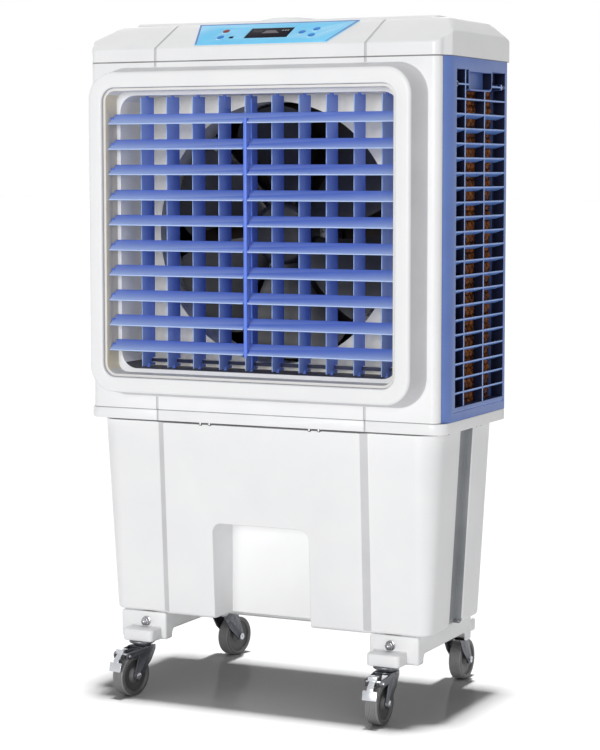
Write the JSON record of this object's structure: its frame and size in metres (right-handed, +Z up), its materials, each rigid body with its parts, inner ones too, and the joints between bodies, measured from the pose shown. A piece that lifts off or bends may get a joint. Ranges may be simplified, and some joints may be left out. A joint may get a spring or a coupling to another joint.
{
  "type": "evaporative cooler",
  "caption": "Upright mobile evaporative cooler: white tank and housing on swivel casters, blue crossed louvres over an axial fan, wet pads behind side and rear grilles.",
  "frame": {"origin": "on the floor, under the middle of the cooler's bounding box", "axes": "+Z up, the louvred front faces -Y, +X to the right seen from the front"},
  "size_m": [0.69, 0.4628, 1.213],
  "materials": {
    "white_shell": "glossy moulded white",
    "grey_plastic": "satin light grey",
    "blue_plastic": "glossy moulded blue",
    "black_plastic": "satin black",
    "pad_paper": "resin-stiffened corrugated paper",
    "panel_film": "printed gloss film",
    "display_glass": "dark clear window",
    "circuit_board": "solder mask",
    "motor_paint": "dark enamel",
    "pipe_plastic": "moulded pale grey",
    "zinc_plate": "bright zinc",
    "dark_steel": "dull zinc-plated steel",
    "wheel_rubber": "matt grey tread",
    "button_blue": "gloss",
    "button_red": "gloss"
  },
  "bodies": {
    "housing": {"water_tank": "white_shell", "base_frame": "white_shell", "base_bolts": "zinc_plate", "mid_frame": "white_shell", "front_panel": "white_shell", "louvre_frame": "grey_plastic", "fan_shroud": "grey_plastic", "right_grille": "blue_plastic", "left_grille": "blue_plastic", "rear_grille": "blue_plastic", "cooling_pads": "pad_paper", "top_cover": "white_shell", "control_panel": "panel_film", "display_window": "display_glass", "control_board": "circuit_board", "fan_motor": "motor_paint", "motor_bracket": "motor_paint", "water_pump": "black_plastic", "water_pipes": "pipe_plastic", "swing_motor": "motor_paint", "caster_plates": "dark_steel"},
    "slat_01": {"slat_01": "blue_plastic"},
    "slat_02": {"slat_02": "blue_plastic"},
    "slat_03": {"slat_03": "blue_plastic"},
    "slat_04": {"slat_04": "blue_plastic"},
    "slat_05": {"slat_05": "blue_plastic"},
    "slat_06": {"slat_06": "blue_plastic"},
    "slat_07": {"slat_07": "blue_plastic"},
    "slat_08": {"slat_08": "blue_plastic"},
    "slat_09": {"slat_09": "blue_plastic"},
    "slat_10": {"slat_10": "blue_plastic"},
    "slat_link": {"slat_link": "blue_plastic"},
    "vane_01": {"vane_01": "blue_plastic"},
    "vane_02": {"vane_02": "blue_plastic"},
    "vane_03": {"vane_03": "blue_plastic"},
    "vane_04": {"vane_04": "blue_plastic"},
    "vane_05": {"vane_05": "blue_plastic"},
    "vane_06": {"vane_06": "blue_plastic"},
    "vane_07": {"vane_07": "blue_plastic"},
    "vane_08": {"vane_08": "blue_plastic"},
    "vane_09": {"vane_09": "blue_plastic"},
    "vane_10": {"vane_10": "blue_plastic"},
    "vane_link": {"vane_link": "blue_plastic"},
    "fan": {"fan": "black_plastic"},
    "power_button": {"power_button": "button_red"},
    "swing_button": {"swing_button": "button_blue"},
    "pump_button": {"pump_button": "button_blue"},
    "speed_button": {"speed_button": "button_blue"},
    "timer_button": {"timer_button": "button_blue"},
    "filler_lid": {"filler_lid": "white_shell"},
    "front_left_fork": {"front_left_fork": "dark_steel"},
    "front_left_wheel": {"front_left_wheel": "wheel_rubber"},
    "front_left_pedal": {"front_left_pedal": "zinc_plate"},
    "front_right_fork": {"front_right_fork": "dark_steel"},
    "front_right_wheel": {"front_right_wheel": "wheel_rubber"},
    "front_right_pedal": {"front_right_pedal": "zinc_plate"},
    "rear_left_fork": {"rear_left_fork": "dark_steel"},
    "rear_left_wheel": {"rear_left_wheel": "wheel_rubber"},
    "rear_right_fork": {"rear_right_fork": "dark_steel"},
    "rear_right_wheel": {"rear_right_wheel": "wheel_rubber"}
  },
  "joints": [
    {"name": "slat_01_tilt", "type": "hinge", "parent": "housing", "child": "slat_01", "pos_m": [0, -0.1935, 1.0265], "axis": [1, 0, 0], "range_deg": [-50, 20]},
    {"name": "slat_02_tilt", "type": "hinge", "parent": "housing", "child": "slat_02", "pos_m": [0, -0.1935, 0.9825], "axis": [1, 0, 0], "range_deg": [-50, 20]},
    {"name": "slat_03_tilt", "type": "hinge", "parent": "housing", "child": "slat_03", "pos_m": [0, -0.1935, 0.9385], "axis": [1, 0, 0], "range_deg": [-50, 20]},
    {"name": "slat_04_tilt", "type": "hinge", "parent": "housing", "child": "slat_04", "pos_m": [0, -0.1935, 0.8945], "axis": [1, 0, 0], "range_deg": [-50, 20]},
    {"name": "slat_05_tilt", "type": "hinge", "parent": "housing", "child": "slat_05", "pos_m": [0, -0.1935, 0.8505], "axis": [1, 0, 0], "range_deg": [-50, 20]},
    {"name": "slat_06_tilt", "type": "hinge", "parent": "housing", "child": "slat_06", "pos_m": [0, -0.1935, 0.8065], "axis": [1, 0, 0], "range_deg": [-50, 20]},
    {"name": "slat_07_tilt", "type": "hinge", "parent": "housing", "child": "slat_07", "pos_m": [0, -0.1935, 0.7625], "axis": [1, 0, 0], "range_deg": [-50, 20]},
    {"name": "slat_08_tilt", "type": "hinge", "parent": "housing", "child": "slat_08", "pos_m": [0, -0.1935, 0.7185], "axis": [1, 0, 0], "range_deg": [-50, 20]},
    {"name": "slat_09_tilt", "type": "hinge", "parent": "housing", "child": "slat_09", "pos_m": [0, -0.1935, 0.6745], "axis": [1, 0, 0], "range_deg": [-50, 20]},
    {"name": "slat_10_tilt", "type": "hinge", "parent": "housing", "child": "slat_10", "pos_m": [0, -0.1935, 0.6305], "axis": [1, 0, 0], "range_deg": [-50, 20]},
    {"name": "slat_link_pivot", "type": "hinge", "parent": "slat_01", "child": "slat_link", "pos_m": [-0.004, -0.20389, 1.0205], "axis": [1, 0, 0], "range_deg": [-20, 50]},
    {"name": "vane_01_swing", "type": "hinge", "parent": "housing", "child": "vane_01", "pos_m": [-0.2315, -0.14125, 0.8285], "axis": [0, 0, 1], "range_deg": [-35, 35]},
    {"name": "vane_02_swing", "type": "hinge", "parent": "housing", "child": "vane_02", "pos_m": [-0.18006, -0.14125, 0.8285], "axis": [0, 0, 1], "range_deg": [-35, 35]},
    {"name": "vane_03_swing", "type": "hinge", "parent": "housing", "child": "vane_03", "pos_m": [-0.12861, -0.14125, 0.8285], "axis": [0, 0, 1], "range_deg": [-35, 35]},
    {"name": "vane_04_swing", "type": "hinge", "parent": "housing", "child": "vane_04", "pos_m": [-0.07717, -0.14125, 0.8285], "axis": [0, 0, 1], "range_deg": [-35, 35]},
    {"name": "vane_05_swing", "type": "hinge", "parent": "housing", "child": "vane_05", "pos_m": [-0.02572, -0.14125, 0.8285], "axis": [0, 0, 1], "range_deg": [-35, 35]},
    {"name": "vane_06_swing", "type": "hinge", "parent": "housing", "child": "vane_06", "pos_m": [0.02572, -0.14125, 0.8285], "axis": [0, 0, 1], "range_deg": [-35, 35]},
    {"name": "vane_07_swing", "type": "hinge", "parent": "housing", "child": "vane_07", "pos_m": [0.07717, -0.14125, 0.8285], "axis": [0, 0, 1], "range_deg": [-35, 35]},
    {"name": "vane_08_swing", "type": "hinge", "parent": "housing", "child": "vane_08", "pos_m": [0.12861, -0.14125, 0.8285], "axis": [0, 0, 1], "range_deg": [-35, 35]},
    {"name": "vane_09_swing", "type": "hinge", "parent": "housing", "child": "vane_09", "pos_m": [0.18006, -0.14125, 0.8285], "axis": [0, 0, 1], "range_deg": [-35, 35]},
    {"name": "vane_10_swing", "type": "hinge", "parent": "housing", "child": "vane_10", "pos_m": [0.2315, -0.14125, 0.8285], "axis": [0, 0, 1], "range_deg": [-35, 35]},
    {"name": "vane_link_pivot", "type": "hinge", "parent": "vane_01", "child": "vane_link", "pos_m": [-0.2315, -0.12625, 0.6], "axis": [0, 0, 1], "range_deg": [-35, 35]},
    {"name": "fan_spin", "type": "hinge", "parent": "housing", "child": "fan", "pos_m": [0, -0.06675, 0.8285], "axis": [0, -1, 0], "continuous": true},
    {"name": "power_button_press", "type": "slide", "parent": "housing", "child": "power_button", "axis": [0, 0.4636, -0.886], "range_m": [0, 0.0015], "stiffness_N_per_m": 400, "springref_m": -0.002},
    {"name": "swing_button_press", "type": "slide", "parent": "housing", "child": "swing_button", "axis": [0, 0.4636, -0.886], "range_m": [0, 0.0015], "stiffness_N_per_m": 400, "springref_m": -0.002},
    {"name": "pump_button_press", "type": "slide", "parent": "housing", "child": "pump_button", "axis": [0, 0.4636, -0.886], "range_m": [0, 0.0015], "stiffness_N_per_m": 400, "springref_m": -0.002},
    {"name": "speed_button_press", "type": "slide", "parent": "housing", "child": "speed_button", "axis": [0, 0.4636, -0.886], "range_m": [0, 0.0015], "stiffness_N_per_m": 400, "springref_m": -0.002},
    {"name": "timer_button_press", "type": "slide", "parent": "housing", "child": "timer_button", "axis": [0, 0.4636, -0.886], "range_m": [0, 0.0015], "stiffness_N_per_m": 400, "springref_m": -0.002},
    {"name": "filler_lid_lift", "type": "slide", "parent": "housing", "child": "filler_lid", "axis": [0, 0, 1], "range_m": [0, 0.04]},
    {"name": "front_left_swivel", "type": "hinge", "parent": "housing", "child": "front_left_fork", "pos_m": [-0.24, -0.15675, 0.09], "axis": [0, 0, 1], "continuous": true},
    {"name": "front_left_roll", "type": "hinge", "parent": "front_left_fork", "child": "front_left_wheel", "pos_m": [-0.24624, -0.18609, 0.0375], "axis": [0.9781, -0.2079, 0], "continuous": true},
    {"name": "front_left_brake", "type": "hinge", "parent": "front_left_fork", "child": "front_left_pedal", "pos_m": [-0.25081, -0.20761, 0.076], "axis": [0.9781, -0.2079, 0], "range_deg": [0, 8]},
    {"name": "front_right_swivel", "type": "hinge", "parent": "housing", "child": "front_right_fork", "pos_m": [0.24, -0.15675, 0.09], "axis": [0, 0, 1], "continuous": true},
    {"name": "front_right_roll", "type": "hinge", "parent": "front_right_fork", "child": "front_right_wheel", "pos_m": [0.24, -0.18675, 0.0375], "axis": [1, 0, 0], "continuous": true},
    {"name": "front_right_brake", "type": "hinge", "parent": "front_right_fork", "child": "front_right_pedal", "pos_m": [0.24, -0.20875, 0.076], "axis": [1, 0, 0], "range_deg": [0, 8]},
    {"name": "rear_left_swivel", "type": "hinge", "parent": "housing", "child": "rear_left_fork", "pos_m": [-0.24, 0.16325, 0.09], "axis": [0, 0, 1], "continuous": true},
    {"name": "rear_left_roll", "type": "hinge", "parent": "rear_left_fork", "child": "rear_left_wheel", "pos_m": [-0.23376, 0.19259, 0.0375], "axis": [-0.9781, 0.2079, 0], "continuous": true},
    {"name": "rear_right_swivel", "type": "hinge", "parent": "housing", "child": "rear_right_fork", "pos_m": [0.24, 0.16325, 0.09], "axis": [0, 0, 1], "continuous": true},
    {"name": "rear_right_roll", "type": "hinge", "parent": "rear_right_fork", "child": "rear_right_wheel", "pos_m": [0.24, 0.19325, 0.0375], "axis": [-1, 0, 0], "continuous": true}
  ],
  "couplings": [
    {"joint": "slat_02_tilt", "follows": "slat_01_tilt", "ratio": 1},
    {"joint": "slat_03_tilt", "follows": "slat_01_tilt", "ratio": 1},
    {"joint": "slat_04_tilt", "follows": "slat_01_tilt", "ratio": 1},
    {"joint": "slat_05_tilt", "follows": "slat_01_tilt", "ratio": 1},
    {"joint": "slat_06_tilt", "follows": "slat_01_tilt", "ratio": 1},
    {"joint": "slat_07_tilt", "follows": "slat_01_tilt", "ratio": 1},
    {"joint": "slat_08_tilt", "follows": "slat_01_tilt", "ratio": 1},
    {"joint": "slat_09_tilt", "follows": "slat_01_tilt", "ratio": 1},
    {"joint": "slat_10_tilt", "follows": "slat_01_tilt", "ratio": 1},
    {"joint": "slat_link_pivot", "follows": "slat_01_tilt", "ratio": -1},
    {"joint": "vane_02_swing", "follows": "vane_01_swing", "ratio": 1},
    {"joint": "vane_03_swing", "follows": "vane_01_swing", "ratio": 1},
    {"joint": "vane_04_swing", "follows": "vane_01_swing", "ratio": 1},
    {"joint": "vane_05_swing", "follows": "vane_01_swing", "ratio": 1},
    {"joint": "vane_06_swing", "follows": "vane_01_swing", "ratio": 1},
    {"joint": "vane_07_swing", "follows": "vane_01_swing", "ratio": 1},
    {"joint": "vane_08_swing", "follows": "vane_01_swing", "ratio": 1},
    {"joint": "vane_09_swing", "follows": "vane_01_swing", "ratio": 1},
    {"joint": "vane_10_swing", "follows": "vane_01_swing", "ratio": 1},
    {"joint": "vane_link_pivot", "follows": "vane_01_swing", "ratio": -1}
  ]
}
